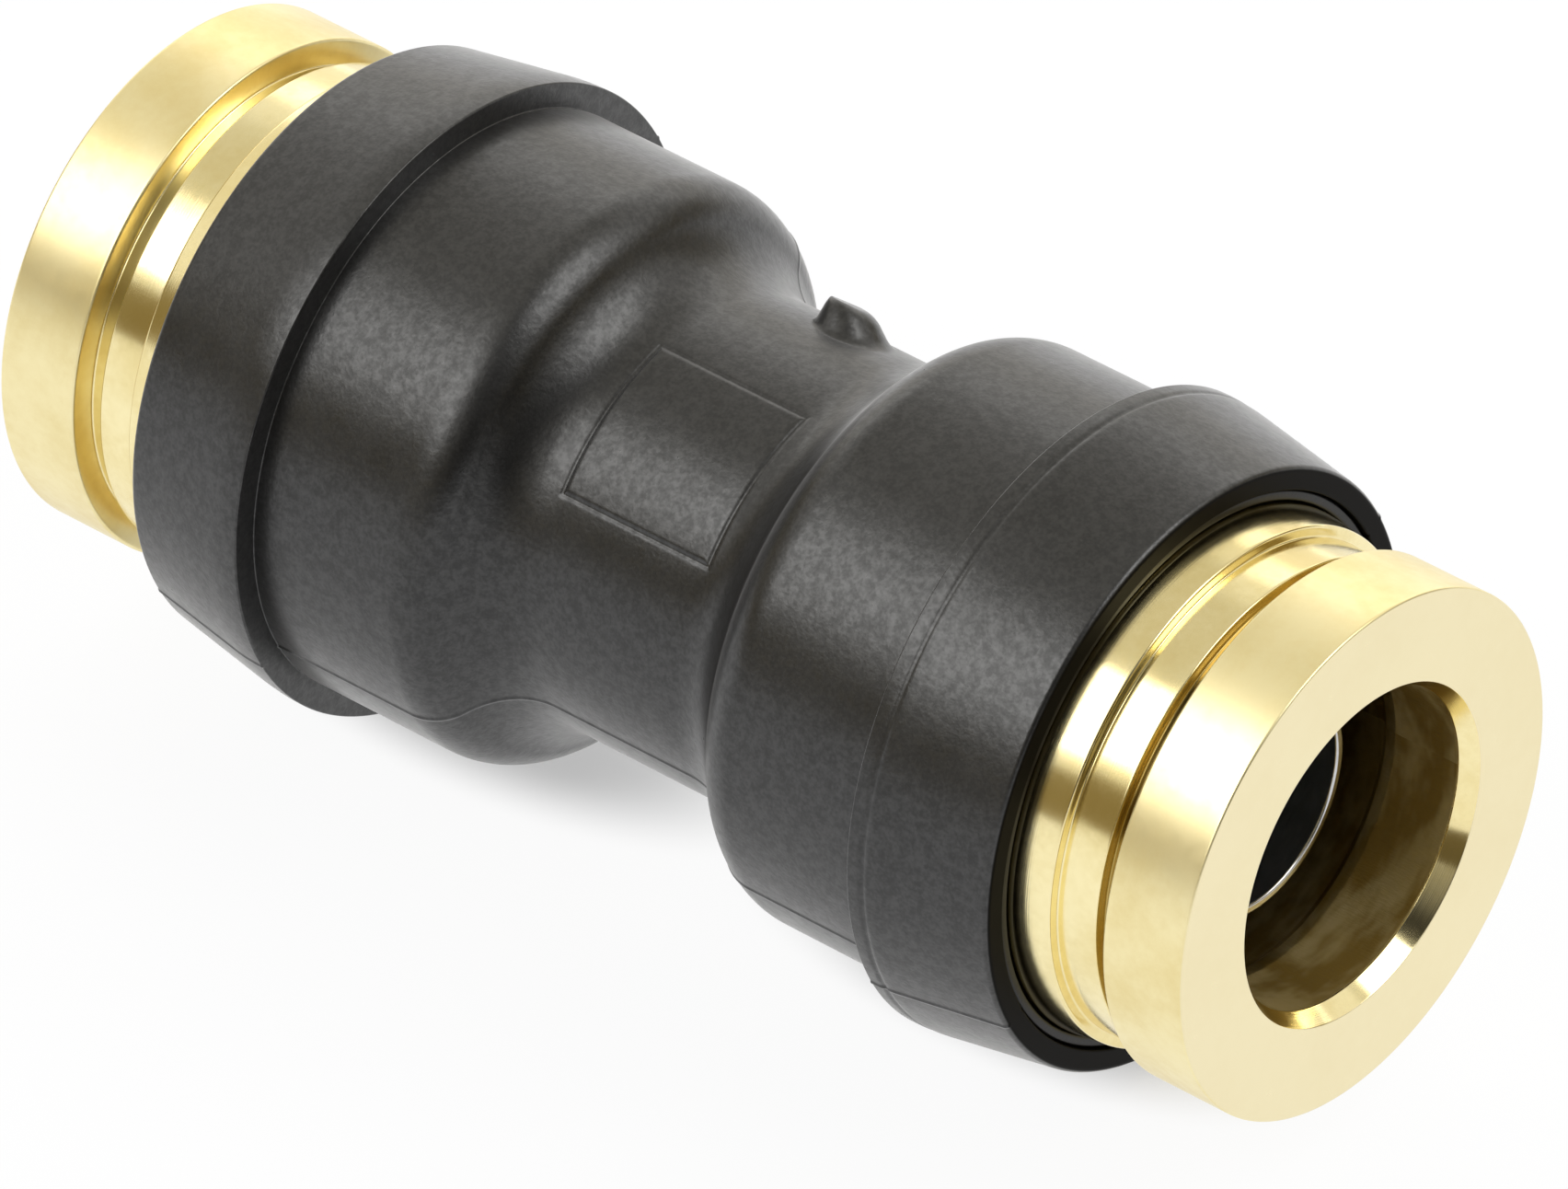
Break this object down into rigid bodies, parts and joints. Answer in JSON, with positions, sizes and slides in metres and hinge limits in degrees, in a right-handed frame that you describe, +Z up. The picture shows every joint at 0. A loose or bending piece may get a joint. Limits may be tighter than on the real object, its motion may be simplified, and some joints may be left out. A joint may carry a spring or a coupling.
{
  "type": "push fit coupling",
  "caption": "Straight push fit tube coupling: waisted moulded body with sprung, flanged brass release sleeves that let a gripped plastic tube out of either end.",
  "frame": {"origin": "middle of the coupling, on the tube axis", "axes": "+X along the tube axis to the right end, +Y to the back, +Z up, as it lies in the picture"},
  "size_m": [0.036, 0.0162, 0.0162],
  "materials": {
    "black_nylon": "charcoal glass-filled nylon with a fine satin grain",
    "turned_brass": "bright pale brass with fine turning lines",
    "black_rubber": "smooth black rubber",
    "spring_steel": "drawn spring steel",
    "bright_steel": "bright stainless steel",
    "white_acetal": "natural white acetal"
  },
  "bodies": {
    "coupling_body": {"body": "black_nylon", "wiper_ring_right": "black_rubber", "wiper_ring_left": "black_rubber", "return_spring_right": "spring_steel", "return_spring_left": "spring_steel", "retainer_right": "turned_brass", "retainer_left": "turned_brass", "grab_ring_right": "bright_steel", "grab_ring_left": "bright_steel", "tooth_guard_right": "white_acetal", "tooth_guard_left": "white_acetal", "tube_seal_right": "black_rubber", "tube_seal_left": "black_rubber", "tube_support_right": "bright_steel", "tube_support_left": "bright_steel"},
    "sleeve_carrier_right": {"snap_ring_right": "spring_steel"},
    "release_sleeve_right": {"release_sleeve_right": "turned_brass"},
    "sleeve_carrier_left": {"snap_ring_left": "spring_steel"},
    "release_sleeve_left": {"release_sleeve_left": "turned_brass"}
  },
  "joints": [
    {"name": "right_sleeve_push", "type": "slide", "parent": "coupling_body", "child": "sleeve_carrier_right", "axis": [-1, 0, 0], "range_m": [0, 0.0015], "stiffness_N_per_m": 2000, "springref_m": -0.001, "deforming": ["return_spring_right"]},
    {"name": "right_sleeve_turn", "type": "hinge", "parent": "sleeve_carrier_right", "child": "release_sleeve_right", "pos_m": [0.0165, 0, 0], "axis": [1, 0, 0], "continuous": true},
    {"name": "left_sleeve_push", "type": "slide", "parent": "coupling_body", "child": "sleeve_carrier_left", "axis": [1, 0, 0], "range_m": [0, 0.0015], "stiffness_N_per_m": 2000, "springref_m": -0.001, "deforming": ["return_spring_left"]},
    {"name": "left_sleeve_turn", "type": "hinge", "parent": "sleeve_carrier_left", "child": "release_sleeve_left", "pos_m": [-0.0165, 0, 0], "axis": [1, 0, 0], "continuous": true}
  ]
}
